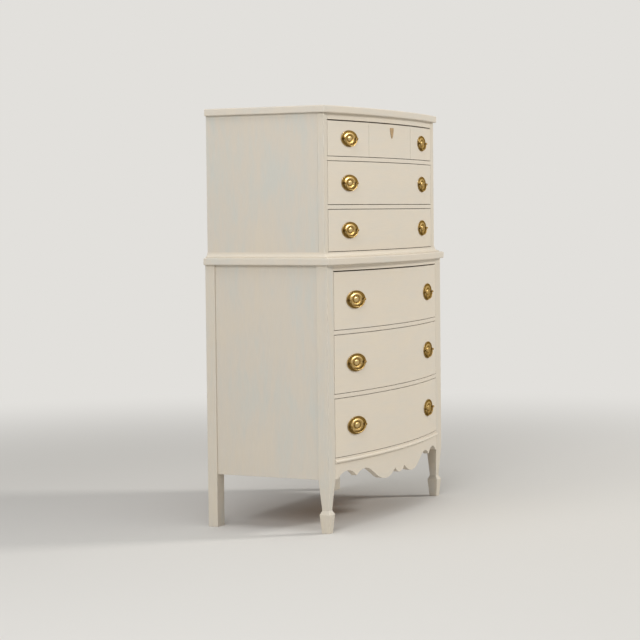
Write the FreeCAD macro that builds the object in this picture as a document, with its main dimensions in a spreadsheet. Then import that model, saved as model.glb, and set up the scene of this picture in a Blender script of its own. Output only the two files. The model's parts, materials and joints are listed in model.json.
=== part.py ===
"""Tall bow-front dresser: a chest of three drawers standing on a wider chest of three drawers.

Millimetres.  +Z is up, -Y is the bowed front, X runs across.  The origin is the middle of the
footprint on the floor.  Every length is a cell of the sheet Sizes; the sheet Places holds what
follows from them.  Each piece of wood or brass is a solid of its own.
"""
import FreeCAD, Part
import os
import re
import Sketcher

SIZES = {
    # the whole dresser
    "overall_width": 965.0,
    "overall_depth": 505.0,
    "overall_height": 1372.0,
    # the two slabs, and how far they stand out beyond the sides under them
    "slab_overhang": 11.0,
    "waist_slab_bow": 52.0,
    "waist_slab_thick": 23.0,
    "top_slab_depth": 478.5,
    "top_slab_bow": 43.5,
    "top_slab_thick": 23.5,
    "slab_edge_ease": 2.5,
    # upper case, set in from the lower one on each side
    "case_step": 17.5,
    "upper_depth": 427.0,
    "upper_bow": 37.0,
    "stile_width": 28.0,
    "stile_depth": 22.0,
    "upper_side_thick": 20.0,
    "upper_top_rail": 20.0,
    "upper_divider": 13.0,
    "upper_bottom_thick": 18.0,
    "opening_1": 118.5,
    "opening_2": 142.5,
    "opening_3": 138.0,
    # cove moulding round the foot of the upper case
    "cove_out": 14.0,
    "cove_toe": 4.0,
    "cove_lip": 2.0,
    # lower case, whose three drawers share the height that is left
    "lower_depth": 443.0,
    "lower_bow": 42.0,
    "case_lift": 222.0,
    "lower_bottom_rail": 18.0,
    "lower_divider": 13.0,
    "lower_top_rail": 19.0,
    "back_thick": 6.0,
    "panel_thick": 12.0,
    "panel_recess": 6.0,
    "panel_bottom": 174.0,
    # legs
    "leg_width": 48.0,
    "leg_depth": 38.0,
    "leg_taper_top": 172.0,
    "ankle_size": 24.5,
    "ankle_height": 74.0,
    "spade_size": 38.0,
    "spade_height": 61.0,
    "spade_toe": 27.0,
    "rear_leg_depth": 34.5,
    # apron and the bead above it
    "apron_drop": 82.5,
    "apron_thick": 20.0,
    "bead_height": 12.0,
    "bead_out": 7.0,
    "bead_lift": 1.0,
    "block_size": 18.0,
    "block_length": 60.0,
    "block_place": 150.0,
    # runners, guides and stops
    "runner_thick": 13.0,
    "runner_reach": 22.0,
    "guide_height": 12.0,
    "stop_height": 6.0,
    "stop_length": 40.0,
    "stop_depth": 14.0,
    "stop_place": 150.0,
    "stop_clearance": 0.3,
    # drawers, the top one of each chest with a wide gap over it
    "front_gap": 2.0,
    "wide_gap": 4.0,
    "side_clearance": 1.0,
    "front_thick": 22.0,
    "front_lap": 8.0,
    "box_thick": 12.0,
    "box_drop": 6.0,
    "box_back_gap": 20.0,
    "bottom_thick": 6.0,
    "bottom_lift": 10.0,
    "groove_depth": 6.0,
    "line_width": 2.0,
    "line_depth": 1.5,
    # keyhole plate on the top drawer
    "key_plate_width": 28.0,
    "key_plate_height": 36.0,
    "key_plate_thick": 1.5,
    "key_plate_drop": 15.5,
    "keyhole_drop": 12.0,
    "keyhole_radius": 2.4,
    "keyhole_slot": 2.4,
    "keyhole_length": 8.0,
    # pulls, their middles set in from the stiles
    "pull_inset": 126.0,
    "upper_plate_width": 102.0,
    "upper_plate_height": 54.0,
    "upper_bore": 76.0,
    "lower_plate_width": 114.0,
    "lower_plate_height": 59.0,
    "lower_bore": 89.0,
    "plate_thick": 1.2,
    "field_height": 1.8,
    "boss_radius": 7.0,
    "boss_height": 1.6,
    "post_radius": 3.8,
    "post_length": 10.8,
    "pivot_height": 7.0,
    "bail_radius": 2.0,
    "bail_clearance": 0.25,
    "bail_side_gap": 0.8,
    "bail_margin": 1.0,
    "bail_pin_inset": 3.0,
    "screw_radius": 2.0,
    "screw_hole_slack": 0.25,
    "screw_head_radius": 4.0,
    "screw_head_height": 2.5,
    # run-out of every cut beyond the wood it cuts
    "overrun": 5.0,
}

# Share of the half opening at which the lines stand that divide the top drawer in three.
LINE_SHARE = 0.406

# Places are worked out from the sizes, level by level from the floor and from the back.
PLACES = {
    "lower_width": "overall_width - 2 * slab_overhang",
    "upper_width": "lower_width - 2 * case_step",
    "top_slab_width": "upper_width + 2 * slab_overhang",
    "upper_frame": "top_slab_thick + upper_top_rail + 2 * upper_divider + upper_bottom_thick",
    "lower_frame": "waist_slab_thick + lower_top_rail + 2 * lower_divider + lower_bottom_rail",
    "upper_stack": "opening_1 + opening_2 + opening_3",
    "lower_opening": "(overall_height - case_lift - lower_frame - upper_frame - upper_stack) / 3",
    "back_y": "overall_depth / 2",
    "lower_face_y": "back_y - lower_depth",
    "upper_face_y": "back_y - upper_depth",
    "lower_half": "lower_width / 2 - leg_width",
    "upper_half": "upper_width / 2 - stile_width",
    "lower_inner": "lower_width / 2 - panel_recess - panel_thick",
    "upper_inner": "upper_width / 2 - upper_side_thick",
    "pull_place": "upper_half - pull_inset",
    "line_place": "upper_half * %s" % LINE_SHARE,
    "lower_frame_y": "lower_face_y + leg_depth",
    "upper_frame_y": "upper_face_y + stile_depth",
    "lower_rear_y": "back_y - rear_leg_depth",
    "upper_rear_y": "back_y - back_thick",
    "lower_radius": "(lower_half * lower_half + lower_bow * lower_bow) / (2 * lower_bow)",
    "upper_radius": "(upper_half * upper_half + upper_bow * upper_bow) / (2 * upper_bow)",
    "lower_centre_y": "lower_face_y - lower_bow + lower_radius",
    "upper_centre_y": "upper_face_y - upper_bow + upper_radius",
    "lower_screw_reach": "lower_bore / 2 + screw_head_radius",
    "upper_screw_reach": "upper_bore / 2 + screw_head_radius",
    "lower_grip": "front_thick + lower_screw_reach ^ 2 / (2 * (lower_radius - front_thick))",
    "upper_grip": "front_thick + upper_screw_reach ^ 2 / (2 * (upper_radius - front_thick))",
    "floor_6": "case_lift + lower_bottom_rail",
    "rail_56": "floor_6 + lower_opening",
    "floor_5": "rail_56 + lower_divider",
    "rail_45": "floor_5 + lower_opening",
    "floor_4": "rail_45 + lower_divider",
    "lower_rail_z": "floor_4 + lower_opening",
    "waist_under": "lower_rail_z + lower_top_rail",
    "waist_top": "waist_under + waist_slab_thick",
    "floor_3": "waist_top + upper_bottom_thick",
    "rail_23": "floor_3 + opening_3",
    "floor_2": "rail_23 + upper_divider",
    "rail_12": "floor_2 + opening_2",
    "floor_1": "rail_12 + upper_divider",
    "upper_rail_z": "floor_1 + opening_1",
    "top_under": "upper_rail_z + upper_top_rail",
    "box_rear_y": "back_y - back_thick - box_back_gap",
}

# The drawers are counted from the top: the case of each, and the height of its opening.
DRAWER_CASES = {1: "upper", 2: "upper", 3: "upper", 4: "lower", 5: "lower", 6: "lower"}
OPENINGS = {1: "opening_1", 2: "opening_2", 3: "opening_3", 4: "lower_opening", 5: "lower_opening",
            6: "lower_opening"}
TOP_DRAWERS = (1, 4)

# Outline of the apron's lower edge from the leg to the middle, as shares of the half opening
# and of the drop: the end of the step, each arch by its crown, each cusp and lobe.
STEP_SHARES = (0.963, 0.594)
OUTER_ARCH_SHARES = (0.841, 0.345)
CUSP_SHARES = (0.717, 0.618)
INNER_ARCH_SHARES = (0.606, 0.392)
OGEE_TOP_SHARES = (0.500, 0.533)
OGEE_END_SHARES = (0.390, 0.848)
LOW_LOBE_TURN_SHARES = (0.330, 0.955)
LOW_LOBE_SHARES = (0.272, 1.0)
NOTCH_TURN_SHARES = (0.170, 0.915)
NOTCH_SHARES = (0.090, 0.679)
MIDDLE_LOBE_SHARE = 0.909
LEG_END_SHARE = 0.606

# Posts and bails are made with this many flats, screws and keyhole with this many, and the
# ovals of a pull's plate with this many.
ROUND_SIDES = 8
SCREW_SIDES = 6
OVAL_SIDES = 16

# Points of half a bail between the bottom of its loop and the turn beside the post, as shares of
# its half span and of its drop.
BAIL_SHARES = ((0.55, 0.86), (0.95, 0.50))

# Share of a pull plate's width and height that its raised field takes.
FIELD_SHARE = 0.62

# Flats in the half round of the bead and in the hollow of the cove.
BEAD_SIDES = 5
COVE_SIDES = 5

# Points of the keyhole plate's flanks from its straight top, as shares of its half width and height.
FLANK_SHARES = ((0.88, 0.0), (1.0, 0.05), (0.95, 0.30), (0.76, 0.55), (0.46, 0.80), (0.20, 0.96))

# A bent moulding is turned through a little more than twice the bow's half angle, then trimmed.
BEND_SPREAD = "2.1"

# Two places nearer than this are the same place.
TOUCH = 1e-6

doc = FreeCAD.newDocument("tall_dresser")
X_AXIS = FreeCAD.Vector(1, 0, 0)
Z_AXIS = FreeCAD.Vector(0, 0, 1)
OUTWARD = FreeCAD.Rotation(X_AXIS, 90)


def sheet_name(word):
    """The word with the name of its sheet before it, where it is a size or a place."""
    if word in SIZES:
        return "Sizes." + word
    if word in PLACES:
        return "Places." + word
    return word


def bound(text):
    """An expression over sizes and places, as the document's expression engine reads it."""
    return re.sub(r"[a-z]\w*", lambda found: sheet_name(found.group()), str(text))


def make_sheet(name, cells):
    sheet = doc.addObject("Spreadsheet::Sheet", name)
    for row, (alias, content) in enumerate(cells.items(), 1):
        sheet.set("A%d" % row, alias)
        sheet.set("B%d" % row, content)
        sheet.setAlias("B%d" % row, alias)
    doc.recompute()
    return sheet


sizes_sheet = make_sheet("Sizes", {name: str(value) for name, value in SIZES.items()})
# A cell of Places names its neighbours without the sheet.
make_sheet("Places", {name: "=" + bound(text).replace("Places.", "") for name, text in PLACES.items()})


def number(text):
    """The value of an expression, as a plain number."""
    value = sizes_sheet.evalExpression(bound(text))
    return float(getattr(value, "Value", value))


def bind(thing, **expressions):
    """Binds properties to expressions; two underscores stand for a dot in the property's path."""
    for path, text in expressions.items():
        thing.setExpression(path.replace("__", "."), bound(text))


def move(thing, x="0", y="0", z="0"):
    bind(thing, Placement__Base__x=x, Placement__Base__y=y, Placement__Base__z=z)
    return thing


def board(name, low, high):
    """A plain board between two corners, each given as three expressions."""
    box = doc.addObject("Part::Box", name)
    spans = ["(%s) - (%s)" % (top, bottom) for bottom, top in zip(low, high)]
    bind(box, Length=spans[0], Width=spans[1], Height=spans[2])
    return move(box, *low)


def group(name, pieces):
    """Separate solids that share a node."""
    compound = doc.addObject("Part::Compound", name)
    compound.Links = pieces
    return compound


def cut(name, base, tools):
    """The base with every tool taken away."""
    result = doc.addObject("Part::Cut", name)
    result.Base = base
    result.Tool = tools[0] if len(tools) == 1 else group(name + "_cutters", tools)
    return result


def origin_plane(body, role):
    return next(part for part in body.Origin.OriginFeatures if part.Role == role)


def new_sketch(body, name, plane="XY_Plane", along="0", shift="0"):
    """A sketch on one of the body's own planes, moved along its normal and sideways."""
    sketch = body.newObject("Sketcher::SketchObject", name)
    sketch.AttachmentSupport = [(origin_plane(body, plane), "")]
    sketch.MapMode = "FlatFace"
    bind(sketch, AttachmentOffset__Base__z=along, AttachmentOffset__Base__x=shift)
    return sketch


def pin_point(geometry, corner, place, rules):
    """Notes the rules that hold a point of a sketch at a place given by two expressions."""
    for axis, kind, text in ((-2, "DistanceX", place[0]), (-1, "DistanceY", place[1])):
        value = number(text)
        if abs(value) < TOUCH:
            rules.append((Sketcher.Constraint("PointOnObject", geometry, corner, axis), None))
        elif value > 0:
            rules.append((Sketcher.Constraint(kind, -1, 1, geometry, corner, value), text))
        else:
            rules.append((Sketcher.Constraint(kind, geometry, corner, -1, 1, -value), "-(%s)" % text))


def spot(place):
    return FreeCAD.Vector(number(place[0]), number(place[1]), 0)


def draw(sketch, start, strokes, closed=True):
    """Adds an outline of strokes: (x, y) is a line's end, (x, y, via_x, via_y) an arc's."""
    head, rules_before = sketch.GeometryCount, sketch.ConstraintCount
    shapes, rules, corners = [], [], [start] + [stroke[:2] for stroke in strokes]
    if closed:
        corners[-1] = start
    vias = []
    for index, stroke in enumerate(strokes):
        first, last = spot(corners[index]), spot(corners[index + 1])
        if len(stroke) == 2:
            shapes.append(Part.LineSegment(first, last))
        else:
            shapes.append(Part.Arc(first, spot(stroke[2:]), last))
            vias.append((index, stroke[2:]))
    ends = []
    for index, shape in enumerate(shapes):
        curve = sketch.addGeometry(shape, False)
        begins = sketch.getPoint(curve, 1)
        ahead = (begins - spot(corners[index])).Length < (begins - spot(corners[index + 1])).Length
        ends.append((1, 2) if ahead else (2, 1))
    count = len(shapes)
    for index in range(count if closed else count - 1):
        following = (index + 1) % count
        rules.append((Sketcher.Constraint("Coincident", head + index, ends[index][1],
                                          head + following, ends[following][0]), None))
    for index in range(count):
        pin_point(head + index, ends[index][0], corners[index], rules)
    if not closed:
        pin_point(head + count - 1, ends[-1][1], corners[-1], rules)
    for index, via in vias:
        dot = sketch.addGeometry(Part.Point(spot(via)), True)
        rules.append((Sketcher.Constraint("PointOnObject", dot, 1, head + index), None))
        pin_point(dot, 1, via, rules)
    sketch.addConstraint([rule for rule, text in rules])
    for index, (rule, text) in enumerate(rules, rules_before):
        if text is not None:
            sketch.setExpression("Constraints[%d]" % index, bound(text))
    return sketch


def outline(corners):
    """A closed outline of straight lines through the corners, ready for draw."""
    return corners[0], corners[1:] + [("", "")]


def flats(sides, across, up, shift=("0", "0")):
    """Corners of a round or oval of flats with the two half sizes, the first flat upright."""
    corners = []
    for corner in range(sides):
        turn = "((%d + 1 / 2) * 360 deg / %d)" % (corner, sides)
        corners.append(("%s + (%s) * cos(%s)" % (shift[0], across, turn),
                        "%s + (%s) * sin(%s)" % (shift[1], up, turn)))
    return corners


def pad(body, sketch, length, name):
    feature = body.newObject("PartDesign::Pad", name)
    feature.Profile = sketch
    bind(feature, Length=length)
    return feature


def new_body(name):
    return doc.addObject("PartDesign::Body", name)


def bowed_plan(half, rear, face, bow):
    """Outline of a board seen from above: straight at the rear and the ends, bowed in front."""
    return (("-(%s)" % half, rear),
            [(half, rear), (half, face), ("-(%s)" % half, face, "0", "%s - (%s)" % (face, bow)), ("", "")])


def bowed_board(name, half, rear, face, bow, low, thick):
    body = new_body(name)
    start, strokes = bowed_plan(half, rear, face, bow)
    sketch = draw(new_sketch(body, name + "_plan", along=low), start, strokes)
    pad(body, sketch, thick, name + "_pad")
    return body


def bowed_strip(sketch, case, half, outer, inner):
    """A strip between two arcs about the bow's centre, given by how deep they lie in the wood."""
    def arc_end(depth):
        radius = "(%s_radius - (%s))" % (case, depth)
        return "%s_centre_y - sqrt(%s * %s - (%s) * (%s))" % (case, radius, radius, half, half)

    def arc_middle(depth):
        return "%s_centre_y - (%s_radius - (%s))" % (case, case, depth)

    left = "-(%s)" % half
    return draw(sketch, (left, arc_end(inner)), [
        (half, arc_end(inner), "0", arc_middle(inner)),
        (half, arc_end(outer)),
        (left, arc_end(outer), "0", arc_middle(outer)),
        ("", ""),
    ])


def rails(case, levels):
    """The rails between the posts of a case, each bowed to the drawer fronts."""
    boards = [bowed_board("%s_rail_%d" % (case, index), case + "_half", case + "_frame_y",
                          case + "_face_y", case + "_bow", low, thick)
              for index, (low, thick) in enumerate(levels, 1)]
    return group(case + "_rails", boards)


def slab(name, width, depth, bow, low, thick):
    """A top board with its edges eased in front and at the ends, above and below."""
    face = "back_y - %s + %s" % (depth, bow)
    body = bowed_board(name, "%s / 2" % width, "back_y", face, bow, low, thick)
    doc.recompute()
    blank, rear = body.Tip, number("back_y")
    level = ["Edge%d" % count for count, edge in enumerate(blank.Shape.Edges, 1)
             if edge.BoundBox.ZLength < TOUCH and edge.BoundBox.YMin < rear - TOUCH]
    eased = body.newObject("PartDesign::Chamfer", name + "_eased")
    eased.Base = (blank, level)
    bind(eased, Size="slab_edge_ease")
    return body


def frustum(name, low, high, centre, bottom, top):
    """A length of square leg between two heights, each end given by its width and depth."""
    wedge = doc.addObject("Part::Wedge", name)
    bind(wedge, Ymin=low, Ymax=high, Xmin="-%s / 2" % bottom[0], Xmax="%s / 2" % bottom[0],
         Zmin="-%s / 2" % bottom[1], Zmax="%s / 2" % bottom[1])
    bind(wedge, X2min="-%s / 2" % top[0], X2max="%s / 2" % top[0],
         Z2min="-%s / 2" % top[1], Z2max="%s / 2" % top[1])
    wedge.Placement.Rotation = OUTWARD
    return move(wedge, *centre)


def front_leg(name, side):
    """A square post that tapers below the case to an ankle and a spade foot."""
    centre = ("%d * (lower_width - leg_width) / 2" % side, "lower_face_y + leg_depth / 2")
    post, ankle = ("leg_width", "leg_depth"), ("ankle_size", "ankle_size")
    collar, toe = ("spade_size", "spade_size"), ("spade_toe", "spade_toe")
    leg = doc.addObject("Part::MultiFuse", name)
    leg.Shapes = [frustum(name + "_post", "leg_taper_top", "waist_under", centre, post, post),
                  frustum(name + "_taper", "ankle_height", "leg_taper_top", centre, ankle, post),
                  frustum(name + "_collar", "spade_height", "ankle_height", centre, collar, ankle),
                  frustum(name + "_spade", "0", "spade_height", centre, toe, collar)]
    return leg


def side_span(side, inner, outer):
    """The low and the high X of something on the left (-1) or the right (1) of the middle."""
    return (inner, outer) if side > 0 else ("-(%s)" % outer, "-(%s)" % inner)


def upper_case():
    """Top slab, sides, stiles, rails, bottom board and back of the upper chest."""
    nodes = [slab("top_slab", "top_slab_width", "top_slab_depth", "top_slab_bow", "top_under",
                  "top_slab_thick")]
    stiles = []
    for side, word in ((-1, "left"), (1, "right")):
        low, high = side_span(side, "upper_inner", "upper_width / 2")
        nodes.append(board("upper_%s_side" % word, (low, "upper_frame_y", "waist_top"),
                           (high, "back_y", "top_under")))
        low, high = side_span(side, "upper_half", "upper_width / 2")
        stiles.append(board("%s_stile" % word, (low, "upper_face_y", "waist_top"),
                            (high, "upper_frame_y", "top_under")))
    nodes.append(group("upper_stiles", stiles))
    levels = (("upper_rail_z", "upper_top_rail"), ("rail_12", "upper_divider"),
              ("rail_23", "upper_divider"))
    nodes.append(rails("upper", levels))
    bottom = new_body("upper_bottom_board")
    plan = new_sketch(bottom, "upper_bottom_plan", along="waist_top")
    draw(plan, ("-upper_inner", "upper_rear_y"), [
        ("upper_inner", "upper_rear_y"),
        ("upper_inner", "upper_frame_y"),
        ("upper_half", "upper_frame_y"),
        ("upper_half", "upper_face_y"),
        ("-upper_half", "upper_face_y", "0", "upper_face_y - upper_bow"),
        ("-upper_half", "upper_frame_y"),
        ("-upper_inner", "upper_frame_y"),
        ("", ""),
    ])
    pad(bottom, plan, "upper_bottom_thick", "upper_bottom_pad")
    nodes.append(bottom)
    nodes.append(board("upper_back_panel", ("-upper_inner", "upper_rear_y", "waist_top"),
                       ("upper_inner", "back_y", "top_under")))
    nodes.append(cove_moulding())
    return nodes


def cove_section(sketch, wall, way):
    """Section of the cove against a wall; way is the side of the wall that it stands out to."""
    sweep = "(cove_out - cove_lip)"
    corners = [(wall, "waist_top"), (wall, "floor_3"), ("%s %s cove_lip" % (wall, way), "floor_3")]
    for corner in range(COVE_SIDES + 1):
        turn = "(%d * 90 deg / %d)" % (corner, COVE_SIDES)
        corners.append(("%s %s (cove_out - %s * cos(%s))" % (wall, way, sweep, turn),
                        "waist_top + cove_toe + %s * (1 - sin(%s))" % (sweep, turn)))
    corners.append(("%s %s cove_out" % (wall, way), "waist_top"))
    return draw(sketch, *outline(corners))


def cove_length(name, plane, wall, way, low, high, corner):
    """A straight length of cove, cut off along a corner's mitre line."""
    body = new_body(name)
    sketch = new_sketch(body, name + "_section", plane, along=low)
    cove_section(sketch, wall, way)
    pad(body, sketch, "(%s) - (%s)" % (high, low), name + "_pad")
    mitre = draw(new_sketch(body, name + "_mitre", along="waist_top"), *outline(corner))
    pocket = body.newObject("PartDesign::Pocket", name + "_mitred")
    pocket.Profile = mitre
    pocket.Type = "ThroughAll"
    pocket.Midplane = True
    return body


def cove_moulding():
    """Cove round the foot of the upper case: side lengths, short ones on the stiles, a bowed one."""
    reach = "(cove_out + overrun)"
    lengths, front = [], []
    for side, word, way in ((-1, "left", "-"), (1, "right", "+")):
        edge = "%d * upper_width / 2" % side
        beyond = "%s %s %s" % (edge, way, reach)
        ahead = "upper_face_y - " + reach
        corner = (edge, "upper_face_y")
        lengths.append(cove_length("cove_%s" % word, "XZ_Plane", edge, way, "-back_y",
                                   "-upper_face_y + cove_out", [corner, (beyond, ahead), (edge, ahead)]))
        low, high = side_span(side, "upper_half", "upper_width / 2 + cove_out")
        front.append(cove_length("cove_front_%s" % word, "YZ_Plane", "upper_face_y", "-", low, high,
                                 [corner, (beyond, ahead), (beyond, "upper_face_y")]))
    bend = new_body("cove_bend")
    sketch = new_sketch(bend, "cove_bend_section", "YZ_Plane", shift="upper_centre_y")
    cove_section(sketch, "-upper_radius", "-")
    turned = bend.newObject("PartDesign::Revolution", "cove_turned")
    turned.Profile = sketch
    turned.ReferenceAxis = (sketch, ["V_Axis"])
    turned.Midplane = True
    bind(turned, Angle=BEND_SPREAD + " * asin(upper_half / upper_radius)")
    trimmed = doc.addObject("Part::Common", "cove_bowed")
    trimmed.Base = bend
    ahead = "upper_face_y - upper_bow - %s" % reach
    trimmed.Tool = board("cove_trim", ("-upper_half", ahead, "waist_top"),
                         ("upper_half", "upper_frame_y", "floor_3"))
    return group("cove_moulding", lengths + front + [trimmed])


def lower_case():
    """Waist slab, legs, panels, rails, apron and back of the lower chest."""
    nodes = [slab("waist_slab", "overall_width", "overall_depth", "waist_slab_bow", "waist_under",
                  "waist_slab_thick")]
    for side, word in ((-1, "left"), (1, "right")):
        nodes.append(front_leg("front_%s_leg" % word, side))
        low, high = side_span(side, "lower_half", "lower_width / 2")
        nodes.append(board("rear_%s_leg" % word, (low, "lower_rear_y", "0"),
                           (high, "back_y", "waist_under")))
        low, high = side_span(side, "lower_inner", "lower_width / 2 - panel_recess")
        nodes.append(board("%s_side_panel" % word, (low, "lower_frame_y", "panel_bottom"),
                           (high, "lower_rear_y", "waist_under")))
    levels = (("lower_rail_z", "lower_top_rail"), ("rail_45", "lower_divider"),
              ("rail_56", "lower_divider"), ("case_lift", "lower_bottom_rail"))
    nodes.append(rails("lower", levels))
    nodes.append(board("lower_back_panel", ("-lower_half", "back_y - back_thick", "panel_bottom"),
                       ("lower_half", "back_y", "waist_under")))
    nodes.append(bead_moulding())
    nodes.append(scalloped_apron())
    return nodes


def bead_moulding():
    """Half-round bead planted on the bottom rail, bent to the bow and cut square at the legs."""
    body = new_body("bead_round")
    sketch = new_sketch(body, "bead_section", "YZ_Plane", shift="lower_centre_y")
    middle = "case_lift + bead_lift + bead_height / 2"
    section = []
    for corner in range(BEAD_SIDES + 1):
        turn = "(%d * 180 deg / %d)" % (corner, BEAD_SIDES)
        section.append(("-lower_radius - bead_out * sin(%s)" % turn,
                        "%s - bead_height / 2 * cos(%s)" % (middle, turn)))
    draw(sketch, *outline(section))
    turned = body.newObject("PartDesign::Revolution", "bead_turned")
    turned.Profile = sketch
    turned.ReferenceAxis = (sketch, ["V_Axis"])
    turned.Midplane = True
    bind(turned, Angle=BEND_SPREAD + " * asin(lower_half / lower_radius)")
    ahead = "lower_face_y - lower_bow - bead_out - overrun"
    trim = board("bead_trim", ("-lower_half", ahead, "case_lift"),
                 ("lower_half", "lower_frame_y", "floor_6"))
    bead = doc.addObject("Part::Common", "bead_moulding")
    bead.Base = body
    bead.Tool = trim
    return bead


def scalloped_apron():
    """Bowed board under the bottom rail, its lower edge sawn to arches, cusps and lobes."""
    body = new_body("scalloped_apron")
    sketch = new_sketch(body, "apron_plan", along="case_lift - apron_drop")
    bowed_strip(sketch, "lower", "lower_half", "0", "apron_thick")
    pad(body, sketch, "apron_drop", "apron_pad")

    def saw(shares, side=1):
        return ("%s * lower_half" % (side * shares[0]), "case_lift - %s * apron_drop" % shares[1])

    floor = "case_lift - apron_drop - overrun"
    edge = [
        ("lower_half + overrun", "case_lift - %s * apron_drop" % LEG_END_SHARE),
        saw(STEP_SHARES),
        saw(CUSP_SHARES) + saw(OUTER_ARCH_SHARES),
        saw(OGEE_TOP_SHARES) + saw(INNER_ARCH_SHARES),
        saw(OGEE_END_SHARES),
        saw(LOW_LOBE_SHARES) + saw(LOW_LOBE_TURN_SHARES),
        saw(NOTCH_SHARES) + saw(NOTCH_TURN_SHARES),
        saw(NOTCH_SHARES, -1) + ("0", "case_lift - %s * apron_drop" % MIDDLE_LOBE_SHARE),
        saw(LOW_LOBE_SHARES, -1) + saw(NOTCH_TURN_SHARES, -1),
        saw(OGEE_END_SHARES, -1) + saw(LOW_LOBE_TURN_SHARES, -1),
        saw(OGEE_TOP_SHARES, -1),
        saw(CUSP_SHARES, -1) + saw(INNER_ARCH_SHARES, -1),
        saw(STEP_SHARES, -1) + saw(OUTER_ARCH_SHARES, -1),
        ("-(lower_half + overrun)", "case_lift - %s * apron_drop" % LEG_END_SHARE),
        ("-(lower_half + overrun)", floor),
        ("", ""),
    ]
    waste = draw(new_sketch(body, "apron_waste", "XZ_Plane"), ("lower_half + overrun", floor), edge)
    pocket = body.newObject("PartDesign::Pocket", "apron_sawn")
    pocket.Profile = waste
    pocket.Type = "ThroughAll"
    pocket.Midplane = True
    return body


def runner_pair(name, case, level, guide=True, thick="runner_thick", lower=True):
    """A runner on each side wall, its top at the level, with a guide strip along its outer edge."""
    pieces = []
    front, rear = "%s_frame_y" % case, "%s_rear_y" % case
    reach = "(%s_half - runner_reach)" % case
    guard = "(%s_half - front_gap + side_clearance)" % case
    wall = "%s_inner" % case
    for side, word in ((-1, "left"), (1, "right")):
        parts = []
        for needed, inner, low, high in ((lower, reach, "%s - %s" % (level, thick), level),
                                         (guide, guard, level, "%s + guide_height" % level)):
            if needed:
                left, right = side_span(side, inner, wall)
                parts.append(board("%s_%s_%d" % (name, word, len(parts) + 1), (left, front, low),
                                   (right, rear, high)))
        if len(parts) == 1:
            pieces += parts
            continue
        joined = doc.addObject("Part::Fuse", "%s_%s" % (name, word))
        joined.Base, joined.Tool = parts
        joined.Refine = True
        pieces.append(joined)
    return pieces


def runners():
    """What the drawers slide on and between: runners, guides, and kickers over the top drawers."""
    upper = runner_pair("runner_1", "upper", "floor_1") + runner_pair("runner_2", "upper", "floor_2")
    upper += runner_pair("guide_3", "upper", "floor_3", lower=False)
    upper += runner_pair("upper_kicker", "upper", "top_under", guide=False, thick="upper_top_rail")
    lower = []
    for drawer in (4, 5, 6):
        lower += runner_pair("runner_%d" % drawer, "lower", "floor_%d" % drawer)
    lower += runner_pair("lower_kicker", "lower", "waist_under", guide=False, thick="lower_top_rail")
    return [group("upper_runners", upper), group("lower_runners", lower)]


def drawer_stops():
    """Small blocks on the rails that each drawer front comes to rest against."""
    blocks = []
    for drawer, case in DRAWER_CASES.items():
        bend, far = "(%s_radius - front_thick)" % case, "(stop_place + stop_length / 2)"
        face = "%s_centre_y + stop_clearance - sqrt(%s ^ 2 - %s ^ 2)" % (case, bend, far)
        for side in (-1, 1):
            middle = "%d * stop_place" % side
            level = "floor_%d" % drawer
            blocks.append(board("stop_%d_%s" % (drawer, "left" if side < 0 else "right"),
                                (middle + " - stop_length / 2", face, level),
                                (middle + " + stop_length / 2", face + " + stop_depth",
                                 level + " + stop_height")))
    return group("drawer_stops", blocks)


def glue_blocks():
    """Blocks in the corner between the bottom rail and the back of the apron."""
    blocks = []
    for side, word in ((-1, "left"), (1, "right")):
        far = "(block_place + block_length / 2)"
        face = "lower_centre_y - sqrt((lower_radius - apron_thick) ^ 2 - %s ^ 2)" % far
        middle = "%d * block_place" % side
        blocks.append(board("glue_block_%s" % word,
                            (middle + " - block_length / 2", face, "case_lift - block_size"),
                            (middle + " + block_length / 2", face + " + block_size", "case_lift")))
    return group("apron_glue_blocks", blocks)


def on_bow(thing, case, x, height):
    """Stands a piece, modelled at the origin and facing -Y, on the bowed face at a height."""
    move(thing, x, "%s_centre_y - sqrt(%s_radius ^ 2 - (%s) ^ 2)" % (case, case, x), height)
    thing.Placement.Rotation = FreeCAD.Rotation(Z_AXIS, 1)
    bind(thing, Placement__Rotation__Angle="asin((%s) / %s_radius)" % (x, case))
    return thing


def at_pull(thing, drawer, side):
    """Stands a piece where a drawer's left (-1) or right (1) pull goes."""
    return on_bow(thing, DRAWER_CASES[drawer], "%d * pull_place" % side,
                  "floor_%d + %s / 2" % (drawer, OPENINGS[drawer]))


def rod(name, sides, radius, low, high, x="0"):
    """A round bar of flats along -Y, from one distance before the face to another."""
    bar = new_body(name)
    sketch = new_sketch(bar, name + "_section", "XZ_Plane", along=low)
    draw(sketch, *outline(flats(sides, radius, radius, (x, "0"))))
    pad(bar, sketch, "(%s) - (%s)" % (high, low), name + "_pad")
    return bar


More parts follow.
